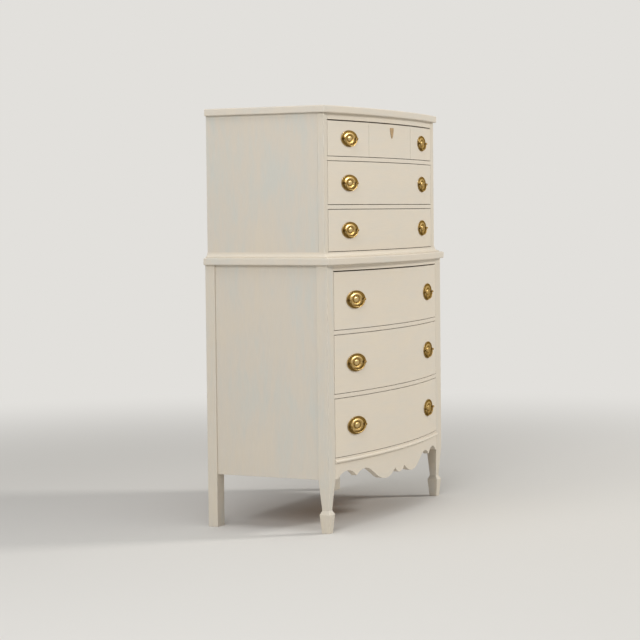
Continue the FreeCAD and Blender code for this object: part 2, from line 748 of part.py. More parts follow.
def drawer_front(tag, drawer, case, screw_holes):
    """Bowed front with lapped ends, a groove for the bottom and holes for the pull screws."""
    floor, opening = "floor_%d" % drawer, OPENINGS[drawer]
    half = "(%s_half - front_gap)" % case
    body = new_body(tag + "_front_board")
    plan = new_sketch(body, tag + "_front_plan", along=floor + " + front_gap")
    bowed_strip(plan, case, half, "0", "front_thick")
    over = "wide_gap" if drawer in TOP_DRAWERS else "front_gap"
    pad(body, plan, "%s - front_gap - %s" % (opening, over), tag + "_front_pad")
    groove = new_sketch(body, tag + "_front_groove", along=floor + " + bottom_lift + bottom_thick")
    bowed_strip(groove, case, half, "front_thick - groove_depth", "front_thick + overrun")
    grooved = body.newObject("PartDesign::Pocket", tag + "_front_grooved")
    grooved.Profile = groove
    bind(grooved, Length="bottom_thick")
    tools = []
    for side, word in ((-1, "left"), (1, "right")):
        low, high = side_span(side, half + " - box_thick", half + " + overrun")
        tools.append(board("%s_lap_%s" % (tag, word), (low, case + "_face_y + front_lap", floor),
                           (high, case + "_face_y + front_lap + front_thick + overrun",
                            "%s + %s - box_drop" % (floor, opening))))
        tools.append(at_pull(group("%s_holes_%s" % (tag, word), screw_holes), drawer, side))
        if drawer == 1:
            place = "%d * line_place" % side
            surface = "upper_centre_y - sqrt(upper_radius ^ 2 - line_place ^ 2)"
            tools.append(board("%s_line_%s" % (tag, word),
                               (place + " - line_width / 2", surface + " - overrun", floor),
                               (place + " + line_width / 2", surface + " + line_depth",
                                "%s + %s" % (floor, opening))))
    return cut(tag + "_front", body, tools)


def drawer_box(tag, drawer, case):
    """Two grooved sides and the back between them."""
    floor, top = "floor_%d" % drawer, "floor_%d + %s - box_drop" % (drawer, OPENINGS[drawer])
    outer = "(%s_half - front_gap)" % case
    inner = "(%s - box_thick)" % outer
    panel_top = floor + " + bottom_lift + bottom_thick"
    pieces = []
    for side, word in ((-1, "left"), (1, "right")):
        low, high = side_span(side, inner, outer)
        plank = board("%s_plank_%s" % (tag, word), (low, case + "_face_y + front_lap", floor),
                      (high, "box_rear_y", top))
        low, high = side_span(side, inner + " - overrun", inner + " + groove_depth")
        groove = board("%s_slot_%s" % (tag, word), (low, case + "_face_y", floor + " + bottom_lift"),
                       (high, "box_rear_y + overrun", panel_top))
        pieces.append(cut("%s_side_%s" % (tag, word), plank, [groove]))
    pieces.append(board(tag + "_back", ("-" + inner, "box_rear_y - box_thick", panel_top),
                        (inner, "box_rear_y", top)))
    return group(tag + "_box", pieces)


def drawer_bottom(tag, drawer, case):
    """Thin panel in the grooves of the sides and the front, running under the back."""
    body = new_body(tag + "_bottom")
    half = "(%s_half - front_gap - box_thick + groove_depth)" % case
    radius = "(%s_radius - front_thick + groove_depth)" % case
    edge = "%s_centre_y - sqrt(%s ^ 2 - %s ^ 2)" % (case, radius, half)
    sketch = new_sketch(body, tag + "_bottom_plan", along="floor_%d + bottom_lift" % drawer)
    draw(sketch, ("-" + half, "box_rear_y"), [
        (half, "box_rear_y"),
        (half, edge),
        ("-" + half, edge, "0", "%s_centre_y - %s" % (case, radius)),
        ("", ""),
    ])
    pad(body, sketch, "bottom_thick", tag + "_bottom_pad")
    return body


def pull_plate(case):
    """Oval plate with a raised field and a boss, and holes for the two screws."""
    width, height = "%s_plate_width / 2" % case, "%s_plate_height / 2" % case
    body = new_body(case + "_plate")
    base = new_sketch(body, case + "_plate_outline", "XZ_Plane")
    draw(base, *outline(flats(OVAL_SIDES, width, height)))
    hole = "screw_radius + screw_hole_slack"
    for side in (-1, 1):
        draw(base, *outline(flats(SCREW_SIDES, hole, hole, ("%d * %s_bore / 2" % (side, case), "0"))))
    pad(body, base, "plate_thick", case + "_plate_pad")
    field = new_sketch(body, case + "_field_outline", "XZ_Plane", along="plate_thick")
    inner = ["%s * %s" % (FIELD_SHARE, span) for span in (width, height)]
    draw(field, *outline(flats(OVAL_SIDES, *inner)))
    pad(body, field, "field_height", case + "_field_pad")
    boss = new_sketch(body, case + "_boss_outline", "XZ_Plane", along="plate_thick + field_height")
    draw(boss, *outline(flats(ROUND_SIDES, "boss_radius", "boss_radius")))
    pad(body, boss, "boss_height", case + "_boss_pad")
    return body


def pull_post(name, place):
    """A post on the plate, with an eye drilled across for the bail's pin."""
    turned = rod(name + "_bar", ROUND_SIDES, "post_radius", "plate_thick", "post_length", place)
    eye = new_sketch(turned, name + "_eye", "YZ_Plane", along=place)
    slack = "bail_radius + bail_clearance"
    draw(eye, *outline(flats(ROUND_SIDES, slack, slack, ("-pivot_height", "0"))))
    drilled = turned.newObject("PartDesign::Pocket", name + "_drilled")
    drilled.Profile = eye
    drilled.Midplane = True
    bind(drilled, Length="2 * post_radius + overrun")
    return turned


def pull_screw(name, case, place):
    """A screw from inside the drawer to the foot of a post."""
    seat, end = "-%s_grip" % case, "-%s_grip - screw_head_height" % case
    screw = doc.addObject("Part::Fuse", name)
    screw.Base = rod(name + "_shank", SCREW_SIDES, "screw_radius", seat, "plate_thick", place)
    screw.Tool = rod(name + "_head", SCREW_SIDES, "screw_head_radius", end, seat, place)
    screw.Refine = True
    return screw


def pull_hardware(case):
    """Plate, posts and screws of one pull, modelled at the origin and facing -Y."""
    pieces = [pull_plate(case)]
    for side, word in ((-1, "left"), (1, "right")):
        place = "%d * %s_bore / 2" % (side, case)
        pieces.append(pull_post("%s_%s_post" % (case, word), place))
        pieces.append(pull_screw("%s_%s_screw" % (case, word), case, place))
    return pieces


def screw_holes(case):
    """What the two screws of a pull need cut through a drawer front."""
    return [rod("%s_%s_hole" % (case, word), SCREW_SIDES, "screw_radius + screw_hole_slack",
                "-(%s_grip + overrun)" % case, "overrun", "%d * %s_bore / 2" % (side, case))
            for side, word in ((-1, "left"), (1, "right"))]


def bail(case):
    """Swinging loop of brass bar whose pins turn in the eyes of the posts."""
    name = case + "_bail"
    body = new_body(name)
    half = "(%s_bore / 2 + post_radius + bail_side_gap + bail_radius)" % case
    fall = "(%s_plate_height / 2 - bail_margin)" % case
    inset = "(%s_bore / 2 - bail_pin_inset)" % case
    right = [("%s * %s" % (across, half), "-%s * %s" % (down, fall)) for across, down in BAIL_SHARES]
    right += [(half, "0"), (inset, "0")]
    points = [("-(%s)" % x, y) for x, y in reversed(right)] + [("0", "-" + fall)] + right
    path = draw(new_sketch(body, name + "_path", "XZ_Plane", along="pivot_height"), points[0], points[1:],
                closed=False)
    section = new_sketch(body, name + "_section", "YZ_Plane", along="-" + inset, shift="-pivot_height")
    draw(section, *outline(flats(ROUND_SIDES, "bail_radius", "bail_radius")))
    pipe = body.newObject("PartDesign::AdditivePipe", name + "_pipe")
    pipe.Profile = section
    pipe.Spine = (path, [])
    pipe.Transition = "Right corner"
    return body


def key_plate():
    """Shield-shaped keyhole plate in the middle of the top drawer."""
    body = new_body("keyhole_plate_blank")
    width, height = "key_plate_width / 2", "key_plate_height"
    sketch = new_sketch(body, "key_plate_outline", "XZ_Plane")
    flank = [("%s * %s" % (across, width), "-%s * %s" % (down, height)) for across, down in FLANK_SHARES]
    corners = [("-" + x, z) for x, z in flank] + [("0", "-" + height)] + flank[::-1]
    draw(sketch, *outline(corners))
    pad(body, sketch, "key_plate_thick", "key_plate_pad")
    hole = move(rod("keyhole_round", SCREW_SIDES, "keyhole_radius", "-overrun", "overrun"),
                z="-keyhole_drop")
    slot = board("keyhole_slot_cut", ("-keyhole_slot / 2", "-overrun", "-keyhole_drop - keyhole_length"),
                 ("keyhole_slot / 2", "overrun", "-keyhole_drop"))
    plate = cut("keyhole_plate_cut", body, [hole, slot])
    return on_bow(group("keyhole_plate", [plate]), "upper", "0", "floor_1 + opening_1 - key_plate_drop")


def drawers():
    """The six drawers with their pulls; the chests have pulls of two sizes."""
    nodes = []
    hardware = {case: pull_hardware(case) for case in ("upper", "lower")}
    holes = {case: screw_holes(case) for case in hardware}
    bails = {case: bail(case) for case in hardware}
    for drawer, case in DRAWER_CASES.items():
        tag = "drawer_%d" % drawer
        nodes.append(drawer_front(tag, drawer, case, holes[case]))
        nodes.append(drawer_box(tag, drawer, case))
        nodes.append(drawer_bottom(tag, drawer, case))
        pulls = []
        for side, word in ((-1, "left"), (1, "right")):
            pulls.append(at_pull(group("%s_%s_pull" % (tag, word), hardware[case]), drawer, side))
            nodes.append(at_pull(group("%s_%s_bail" % (tag, word), [bails[case]]), drawer, side))
        nodes.append(group(tag + "_pulls", pulls))
    nodes.append(key_plate())
    return nodes


def export(nodes):
    """Checks every object and every node, and writes one file for each node."""
    doc.recompute()
    failed = [thing.Label for thing in doc.Objects if {"Invalid", "Error"} & set(thing.State)]
    if failed:
        raise RuntimeError("failed objects: " + ", ".join(failed))
    os.makedirs("parts", exist_ok=True)
    for node in nodes:
        if node.Shape.isNull() or not node.Shape.isValid() or not node.Shape.Solids:
            raise RuntimeError("no sound solid in " + node.Label)
        node.Shape.exportStep("parts/%s.step" % node.Label)


export(upper_case() + lower_case() + runners() + [drawer_stops(), glue_blocks()] + drawers())
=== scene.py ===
"""Looks of a tall painted bow-front dresser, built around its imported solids.

Metres, in the frame of the solids: +Z up, -Y out of the bowed front, the floor at Z = 0.
Tables said to be in millimetres become metres where they are used.
"""
import json
import math

import bmesh
import bpy
from mathutils import Matrix, Vector


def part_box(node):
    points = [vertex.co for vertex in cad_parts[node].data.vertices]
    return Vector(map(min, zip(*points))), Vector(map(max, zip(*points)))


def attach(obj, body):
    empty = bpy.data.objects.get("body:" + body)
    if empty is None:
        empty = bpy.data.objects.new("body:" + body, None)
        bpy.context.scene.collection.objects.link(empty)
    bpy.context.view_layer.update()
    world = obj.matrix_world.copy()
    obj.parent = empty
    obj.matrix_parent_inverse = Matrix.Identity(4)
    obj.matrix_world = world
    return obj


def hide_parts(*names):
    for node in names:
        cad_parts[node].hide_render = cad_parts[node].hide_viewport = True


MM = 0.001
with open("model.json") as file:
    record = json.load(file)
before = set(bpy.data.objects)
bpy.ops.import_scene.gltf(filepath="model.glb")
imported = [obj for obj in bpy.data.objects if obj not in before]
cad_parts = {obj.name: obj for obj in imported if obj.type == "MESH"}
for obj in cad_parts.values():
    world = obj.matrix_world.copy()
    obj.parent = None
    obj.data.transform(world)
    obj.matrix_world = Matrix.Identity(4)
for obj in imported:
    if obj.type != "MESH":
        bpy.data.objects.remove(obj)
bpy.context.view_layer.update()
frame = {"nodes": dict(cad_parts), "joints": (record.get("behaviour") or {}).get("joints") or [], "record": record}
NODES = frame["nodes"]
BODY_OF = {node: body for body, nodes in frame["record"]["behaviour"]["bodies"].items()
           for node in nodes}
JOINTS = {joint["name"]: joint for joint in frame["joints"]}
# The chest that holds each drawer, from the top down.
CASE_OF = {1: "upper", 2: "upper", 3: "upper", 4: "lower", 5: "lower", 6: "lower"}


def put_in_scene(name, data):
    """A new object in the scene, made of a mesh, a lamp or a lens."""
    thing = bpy.data.objects.new(name, data)
    bpy.context.scene.collection.objects.link(thing)
    return thing


# ---------------------------------------------------------------- materials

def colour(red, green, blue):
    """A colour written as on a screen, 0 to 255, as Blender's linear one (the sRGB curve)."""
    linear = []
    for level in (red, green, blue):
        share = level / 255
        linear.append(share / 12.92 if share <= 0.04045 else ((share + 0.055) / 1.055) ** 2.4)
    return (*linear, 1.0)


# The sockets of a Mix node that take and give colours go by number, as their names repeat.
MIX_SHARE, MIX_FIRST, MIX_SECOND = 0, 6, 7
MIX_RESULT = 2


class Finish:
    """A material and short ways to add its nodes."""

    def __init__(self, name, **sockets):
        self.material = bpy.data.materials.new(name)
        self.material.use_nodes = True
        self.tree = self.material.node_tree
        self.shader = self.tree.nodes["Principled BSDF"]
        for socket, value in sockets.items():
            self.shader.inputs[socket.replace("_", " ")].default_value = value
        self.place = self.add("ShaderNodeTexCoord").outputs["Object"]

    def add(self, kind, **settings):
        node = self.tree.nodes.new(kind)
        for setting, value in settings.items():
            setattr(node, setting, value)
        return node

    def join(self, source, target):
        self.tree.links.new(source, target)

    def noise(self, lumps, detail=3.0, rough=0.5, warp=0.0):
        """Noise with so many lumps to the metre along X, Y and Z."""
        mapping = self.add("ShaderNodeMapping")
        mapping.inputs["Scale"].default_value = lumps
        self.join(self.place, mapping.inputs["Vector"])
        texture = self.add("ShaderNodeTexNoise")
        texture.inputs["Scale"].default_value = 1.0
        texture.inputs["Detail"].default_value = detail
        texture.inputs["Roughness"].default_value = rough
        texture.inputs["Distortion"].default_value = warp
        self.join(mapping.outputs["Vector"], texture.inputs["Vector"])
        return texture.outputs["Fac"]

    def drawn_out(self, run, lumps, along, **looks):
        """Noise with so many lumps to the metre, and only a share of that along some axes."""
        return self.noise([lumps * (along if axis in run else 1) for axis in "xyz"], **looks)

    def ramp(self, source, stops):
        """Colours along a value, as (level, colour) stops."""
        node = self.add("ShaderNodeValToRGB")
        stops = list(stops)
        elements = node.color_ramp.elements
        # New elements may start anywhere, because all of them are placed afterwards.
        while len(elements) < len(stops):
            elements.new(0.5)
        for element, (level, shade) in zip(elements, stops):
            element.position = level
            element.color = shade
        self.join(source, node.inputs["Fac"])
        return node.outputs["Color"]

    def mix(self, share, first, second, blend="MIX"):
        node = self.add("ShaderNodeMix", data_type="RGBA", blend_type=blend)
        for socket, value in ((MIX_SHARE, share), (MIX_FIRST, first), (MIX_SECOND, second)):
            if isinstance(value, bpy.types.NodeSocket):
                self.join(value, node.inputs[socket])
            else:
                node.inputs[socket].default_value = value
        return node.outputs[MIX_RESULT]

    def times(self, first, second):
        node = self.add("ShaderNodeMath", operation="MULTIPLY")
        self.join(first, node.inputs[0])
        self.join(second, node.inputs[1])
        return node.outputs[0]

    def spread(self, source, low, high):
        """A value between 0 and 1 laid over another range."""
        node = self.add("ShaderNodeMapRange")
        node.inputs["To Min"].default_value = low
        node.inputs["To Max"].default_value = high
        self.join(source, node.inputs["Value"])
        return node.outputs["Result"]

    def fade(self, source, start, end, **settings):
        """0 where a value is at the start, 1 where it is at the end."""
        node = self.add("ShaderNodeMapRange", **settings)
        node.inputs["From Min"].default_value = start
        node.inputs["From Max"].default_value = end
        self.join(source, node.inputs["Value"])
        return node.outputs["Result"]

    def bump(self, source, height, strength, below=None):
        node = self.add("ShaderNodeBump")
        node.inputs["Strength"].default_value = strength
        node.inputs["Distance"].default_value = height
        self.join(source, node.inputs["Height"])
        if below:
            self.join(below, node.inputs["Normal"])
        return node.outputs["Normal"]

    def wire(self, **sockets):
        """Joins sources to the shader's sockets and gives the material."""
        for socket, source in sockets.items():
            self.join(source, self.shader.inputs[socket.replace("_", " ")])
        return self.material


# How far the paler edge, part rubbed wear and part painted highlight, reaches in from an edge, and how
# well the normal blurred over that reach still agrees with the true one where it is full.
EDGE_REACH = 3.5 * MM
EDGE_AGREEMENT = 0.80
EDGE_SAMPLES = 4


def edges(finish):
    """1 at a piece's edges, falling to 0 a little way in."""
    rounded = finish.add("ShaderNodeBevel", samples=EDGE_SAMPLES)
    rounded.inputs["Radius"].default_value = EDGE_REACH
    true = finish.add("ShaderNodeNewGeometry")
    agree = finish.add("ShaderNodeVectorMath", operation="DOT_PRODUCT")
    finish.join(rounded.outputs["Normal"], agree.inputs[0])
    finish.join(true.outputs["Normal"], agree.inputs[1])
    return finish.fade(agree.outputs["Value"], 1.0, EDGE_AGREEMENT)


# What the brush left, from coarse to fine: lumps to the metre across its strokes, the share of
# that along them, and how the noise looks.
PATCHES = {"lumps": 8, "along": 0.45, "detail": 2.0, "warp": 0.5}
STROKES = {"lumps": 42, "along": 0.22, "detail": 3.0, "rough": 0.55, "warp": 0.3}
STREAKS = {"lumps": 190, "along": 0.07, "detail": 3.0, "rough": 0.6}
HAIRS = {"lumps": 760, "along": 0.035, "detail": 2.0}
# How much each finer layer counts against the coarser ones under it.
STROKE_SHARE = 0.45
STREAK_SHARE = 0.12
HAIR_SHARE = 0.07
# Levels of the noise at which the paint is cool, ivory and warm.
PAINT_LEVELS = (0.36, 0.50, 0.64)
HAIR_STOPS = ((0.3, colour(132, 128, 120)), (0.7, colour(255, 252, 246)))
# Colour of the paler edges: rubbed wear and a painted highlight along them.
RUBBED_AND_HIGHLIT_EDGE = colour(224, 218, 207)
# The paler edge, part wear and part painted highlight, where the strokes lie lowest and highest.
EDGE_WEAR_AND_HIGHLIGHT = (0.1, 0.8)
STREAK_HEIGHT = 0.14 * MM
HAIR_HEIGHT = 0.05 * MM
PAINT_RELIEF = 0.5


def paint(name, run, cool, ivory, warm, gloss=0.42, rough=(0.44, 0.60)):
    """Ivory paint laid on with a brush: thin and cool in places, paler along the edges as rubbed wear and painted
    highlight.

    run names the axes along which the strokes of the brush go."""
    finish = Finish(name, Specular_IOR_Level=gloss)
    patches = finish.drawn_out(run, **PATCHES)
    strokes = finish.drawn_out(run, **STROKES)
    streaks = finish.drawn_out(run, **STREAKS)
    hairs = finish.drawn_out(run, **HAIRS)
    tone = finish.mix(STREAK_SHARE, finish.mix(STROKE_SHARE, patches, strokes), streaks)
    base = finish.ramp(tone, zip(PAINT_LEVELS, (cool, ivory, warm)))
    bristled = finish.mix(HAIR_SHARE, base, finish.ramp(hairs, HAIR_STOPS), "SOFT_LIGHT")
    # Painted highlight along the edges, mixed with rubbed wear.
    wear_and_highlight = finish.times(edges(finish), finish.spread(strokes, *EDGE_WEAR_AND_HIGHLIGHT))
    ridges = finish.bump(streaks, STREAK_HEIGHT, PAINT_RELIEF)
    return finish.wire(Base_Color=finish.mix(wear_and_highlight, bristled, RUBBED_AND_HIGHLIT_EDGE),
                       Roughness=finish.spread(hairs, *rough),
                       Normal=finish.bump(hairs, HAIR_HEIGHT, PAINT_RELIEF, ridges))


# One ivory paint in copies lit and shaded differently: the sides' copy is darker and cooler than the fronts' as
# painted shade, and the posts' and slabs' copies lie between them.
PAINTS = {
    "side": paint("side_paint_painted_shade", "z",
                  colour(204, 202, 193), colour(210, 202, 189), colour(213, 203, 187)),
    "post": paint("post_paint", "z",
                  colour(207, 203, 193), colour(213, 204, 189), colour(215, 205, 187)),
    "front": paint("front_paint", "xy",
                   colour(216, 208, 194), colour(219, 209, 193), colour(221, 210, 192)),
    # The slabs have lost their gloss to dusting and to what stood on them.
    "top": paint("top_paint", "x",
                 colour(211, 206, 195), colour(216, 207, 193), colour(218, 208, 192),
                 gloss=0.22, rough=(0.66, 0.80)),
}

WOOD_GLOSS = 0.35
WOOD_ROUGH = (0.50, 0.68)
RINGS = {"lumps": 26, "along": 0.03, "detail": 3.0, "rough": 0.55, "warp": 1.1}
FIBRES = {"lumps": 420, "along": 0.03, "detail": 3.0, "rough": 0.7}
FIBRE_SHARE = 0.30
FIBRE_HEIGHT = 0.10 * MM
FIBRE_RELIEF = 0.6
WOOD_LEVELS = (0.34, 0.50, 0.64)
PORE_LEVELS = (0.36, 0.52)
PORE = colour(74, 50, 32)


def timber(name, run, pores, dark, middle, light):
    """Wood with its grain along an axis; pores is how strongly the dark pores show."""
    finish = Finish(name, Specular_IOR_Level=WOOD_GLOSS)
    rings = finish.drawn_out(run, **RINGS)
    fibres = finish.drawn_out(run, **FIBRES)
    tone = finish.mix(FIBRE_SHARE, rings, fibres)
    base = finish.ramp(tone, zip(WOOD_LEVELS, (dark, middle, light)))
    dotted = finish.ramp(fibres, zip(PORE_LEVELS, (PORE, light)))
    return finish.wire(Base_Color=finish.mix(pores, base, dotted, "MULTIPLY"),
                       Roughness=finish.spread(rings, *WOOD_ROUGH),
                       Normal=finish.bump(fibres, FIBRE_HEIGHT, FIBRE_RELIEF))


SEALED_PORES = 0.1375
RAW_PORES = 0.2
SEALED = {run: timber("sealed_wood_" + run, run, SEALED_PORES,
                      colour(150, 112, 70), colour(186, 148, 101), colour(205, 170, 123))
          for run in "xy"}
RAW = {run: timber("raw_wood_" + run, run, RAW_PORES,
                   colour(104, 74, 46), colour(140, 104, 68), colour(164, 127, 88))
       for run in "xyz"}

# Clouds of tarnish, how much they count against the brightness that the meshes give and over which range
# they swing, and the fine grain of the metal.
CLOUDS = {"lumps": (130, 130, 130), "detail": 4.0, "rough": 0.6}
CLOUD_SHARE = 0.22
CLOUD_RANGE = (-0.6, 1.6)
GRAINS = {"lumps": (1100, 1100, 1100), "detail": 2.0}
GRAIN_HEIGHT = 0.03 * MM
GRAIN_RELIEF = 0.3
SPOTS = {"lumps": (150, 150, 150), "detail": 5.0, "rough": 0.65}
SPOT_HEIGHT = 0.05 * MM
SPOT_RELIEF = 0.4
DULL_ROUGH = (0.42, 0.62)
BRASS_STOPS = ((0.06, colour(78, 58, 28)), (0.32, colour(128, 102, 56)),
               (0.62, colour(168, 139, 86)), (0.92, colour(202, 177, 128)))
BRASS_ROUGH_STOPS = ((0.1, colour(192, 192, 192)), (0.9, colour(158, 158, 158)))
DULL_STOPS = ((0.32, colour(142, 116, 80)), (0.52, colour(178, 150, 110)),
              (0.70, colour(200, 174, 134)))


def brass():
    """Old brass, brighter and browner point by point.

    The meshes give how bright, from 0 to 1, at each of their points. On the plates this is partly tarnish in
    the hollows and partly painted dark reflection, low on the hollow border and in the groove round the boss
    where a dark room would show. The posts are brighter toward their tips, and the bail on its outer side."""
    finish = Finish("brass", Metallic=1.0, Specular_Tint=colour(220, 198, 158))
    clouds = finish.noise(**CLOUDS)
    grains = finish.noise(**GRAINS)
    # The brightness the meshes give, on the plates partly a painted dark reflection.
    polish_and_painted_reflection = finish.add("ShaderNodeAttribute", attribute_name="polish_and_painted_reflection").outputs["Fac"]
    tone = finish.mix(CLOUD_SHARE, polish_and_painted_reflection, finish.spread(clouds, *CLOUD_RANGE))
    return finish.wire(Base_Color=finish.ramp(tone, BRASS_STOPS),
                       Roughness=finish.ramp(tone, BRASS_ROUGH_STOPS),
                       Normal=finish.bump(grains, GRAIN_HEIGHT, GRAIN_RELIEF))


def dull_brass():
    """Thin old brass that has lost its polish."""
    finish = Finish("dull_brass", Metallic=0.6)
    spots = finish.noise(**SPOTS)
    return finish.wire(Base_Color=finish.ramp(spots, DULL_STOPS),
                       Roughness=finish.spread(spots, *DULL_ROUGH),
                       Normal=finish.bump(spots, SPOT_HEIGHT, SPOT_RELIEF))


BRASS = brass()
DULL_BRASS = dull_brass()


# ---------------------------------------------------------------- boards

def add_piece(name, mesh, node, material, matrix=None):
    """Puts a mesh in the scene as a piece that stands for a node and rides on its body."""
    piece = put_in_scene(name, mesh)
    if matrix:
        piece.matrix_world = matrix
    mesh.materials.clear()
    mesh.materials.append(material)
    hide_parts(node)
    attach(piece, BODY_OF[node])
    return piece


# Steps across a rounded edge, and the angle from which an edge is rounded.
EASE_STEPS = 2
EASE_ANGLE = math.radians(30)


def ease(piece, width):
    """Rounds a piece's edges softly."""
    rounding = piece.modifiers.new("ease", "BEVEL")
    rounding.width = width
    rounding.segments = EASE_STEPS
    rounding.limit_method = "ANGLE"
    rounding.angle_limit = EASE_ANGLE
    rounding.use_clamp_overlap = True
    even = piece.modifiers.new("even", "WEIGHTED_NORMAL")
    even.keep_sharp = True


def part_boards(work):
    """Parts boards that only touch along an edge, so that each is rounded by itself."""
    placed, boards = set(), []
    for first in work.faces:
        if first in placed:
            continue
        placed.add(first)
        board = [first]
        for face in board:
            for edge in face.edges:
                if len(edge.link_faces) == 2:
                    fresh = [beside for beside in edge.link_faces if beside not in placed]
                    placed.update(fresh)
                    board += fresh
        boards.append(board)
    for board in boards[1:]:
        bmesh.ops.split(work, geom=board)


# Points closer than this are one point, and faces flatter than this to each other are one face.
WELD_REACH = 0.001 * MM
FLAT_ANGLE = math.radians(0.05)


def eased_board(node, material, width, bare=None, second=None):
    """Stands for a board, with the same faces and rounded edges.

    bare picks the faces, by their middle and normal, that get the second material."""
    work = bmesh.new()
    work.from_mesh(NODES[node].data)
    bmesh.ops.remove_doubles(work, verts=work.verts, dist=WELD_REACH)
    part_boards(work)
    bmesh.ops.dissolve_limit(work, angle_limit=FLAT_ANGLE, verts=work.verts, edges=work.edges)
    mesh = bpy.data.meshes.new(node + "_eased")
    work.to_mesh(mesh)
    work.free()
    mesh.shade_smooth()
    piece = add_piece(node + "_eased", mesh, node, material)
    if bare:
        mesh.materials.append(second)
        for face in mesh.polygons:
            face.material_index = int(bare(face.center, face.normal))
    ease(piece, width)


def finish_node(node, material):
    """Keeps a solid as it is, in a material."""
    NODES[node].data.materials.clear()
    NODES[node].data.materials.append(material)


# How squarely a face has to look a way to count as facing it.
FACING = 0.5


def faces_back(middle, normal):
    return normal.y > FACING


def faces_in(middle, normal):
    return normal.x * middle.x < -FACING * abs(middle.x)


# How far the edges of each kind of piece are rounded.
EASES = {"side": 1.0 * MM, "post": 1.3 * MM, "rail": 0.8 * MM, "slab": 1.0 * MM,
         "inside": 0.8 * MM, "drawer_front": 1.2 * MM, "drawer_box": 1.0 * MM,
         "plate": 0.35 * MM}
# Thickness of the drawers' sides.
DRAWER_WOOD = 12 * MM

for node in ("upper_left_side", "upper_right_side", "left_side_panel", "right_side_panel"):
    eased_board(node, PAINTS["side"], EASES["side"], faces_in, RAW["z"])
for node in ("front_left_leg", "front_right_leg", "rear_left_leg", "rear_right_leg",
             "upper_stiles"):
    eased_board(node, PAINTS["post"], EASES["post"])
for node in ("upper_rails", "lower_rails", "scalloped_apron"):
    eased_board(node, PAINTS["front"], EASES["rail"], faces_back, RAW["x"])
for node in ("top_slab", "waist_slab"):
    eased_board(node, PAINTS["top"], EASES["slab"])
for node in ("upper_runners", "lower_runners"):
    eased_board(node, RAW["y"], EASES["inside"])
for node in ("drawer_stops", "apron_glue_blocks"):
    eased_board(node, RAW["x"], EASES["inside"])
finish_node("upper_bottom_board", RAW["x"])
for node in ("upper_back_panel", "lower_back_panel"):
    finish_node(node, RAW["z"])
for number in CASE_OF:
    tag = "drawer_%d_" % number
    eased_board(tag + "front", PAINTS["front"], EASES["drawer_front"], faces_back, SEALED["x"])
    # The grain runs along the sides of the box, and across on the back between them.
    side_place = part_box(tag + "box")[1][0] - DRAWER_WOOD - MM
    eased_board(tag + "box", SEALED["y"], EASES["drawer_box"],
                lambda middle, normal: abs(middle.x) < side_place, SEALED["x"])
    finish_node(tag + "bottom", SEALED["x"])
eased_board("keyhole_plate", DULL_BRASS, EASES["plate"])


# ---------------------------------------------------------------- mouldings

def loft(work, rings):
    """Skins rings of points in order, with a cap at both ends; all rings have one length."""
    loops = [[work.verts.new(point) for point in ring] for ring in rings]
    for first, second in zip(loops, loops[1:]):
        for index in range(len(first)):
            following = (index + 1) % len(first)
            work.faces.new((first[index], first[following], second[following], second[index]))
    work.faces.new(loops[0][::-1])
    work.faces.new(loops[-1])


def finished_mesh(work, name, sharp=40):
    """The mesh of what was built, smooth but for edges sharper than so many degrees."""
    bmesh.ops.recalc_face_normals(work, faces=work.faces)
    mesh = bpy.data.meshes.new(name)
    work.to_mesh(mesh)
    work.free()
    mesh.shade_smooth()
    mesh.set_sharp_from_angle(angle=math.radians(sharp))
    return mesh


# The bowed faces, in millimetres: half the bowed width, the flat face's place and the bow.
FACES = {
    "upper": {"half": 426.0, "face": -174.5, "bow": 37.0},
    "lower": {"half": 423.5, "face": -190.5, "bow": 42.0},
}
# Places on the cases, in millimetres.
BACK = 252.5
UPPER_SIDE = 454.0
WAIST_TOP = 885.5
CASE_LIFT = 222.0
# The bead stands on the bottom rail and the cove in the corner of the upper case and the waist
# slab; both in millimetres.
BEAD = {"lift": 1.0, "height": 12.0, "out": 7.0}
COVE = {"out": 14.0, "toe": 4.0, "lip": 2.0, "height": 18.0}
# Steps along a bow and across a moulding's round or hollow.
BOW_STEPS = 32
MOULDING_STEPS = 16
MOULDING_EASE = 0.4 * MM
MOULDING_SHARP = 8


def bowed(case, outset, height):
    """Points along a bowed face from left to right, so far out from it and at that height."""
    face = FACES[case]
    radius = (face["half"] ** 2 + face["bow"] ** 2) / (2 * face["bow"])
    centre = face["face"] - face["bow"] + radius
    reach = radius + outset
    spread = math.asin(face["half"] / reach)
    points = []
    for step in range(BOW_STEPS + 1):
        turn = spread * (2 * step / BOW_STEPS - 1)
        across, along = reach * math.sin(turn), centre - reach * math.cos(turn)
        points.append(Vector((across, along, height)) * MM)
    return points


def moulding(node, lines):
    """A moulding skinned from lines of equal length, one for each point of its section."""
    work = bmesh.new()
    loft(work, list(zip(*lines)))
    mesh = finished_mesh(work, node, sharp=MOULDING_SHARP)
    ease(add_piece(node + "_run", mesh, node, PAINTS["front"]), MOULDING_EASE)


def bead_lines():
    """The half-round bead, point by point of its section from below."""
    lines = []
    for step in range(MOULDING_STEPS + 1):
        turn = math.pi * step / MOULDING_STEPS
        level = CASE_LIFT + BEAD["lift"] + BEAD["height"] / 2 * (1 - math.cos(turn))
        lines.append(bowed("lower", BEAD["out"] * math.sin(turn), level))
    return lines


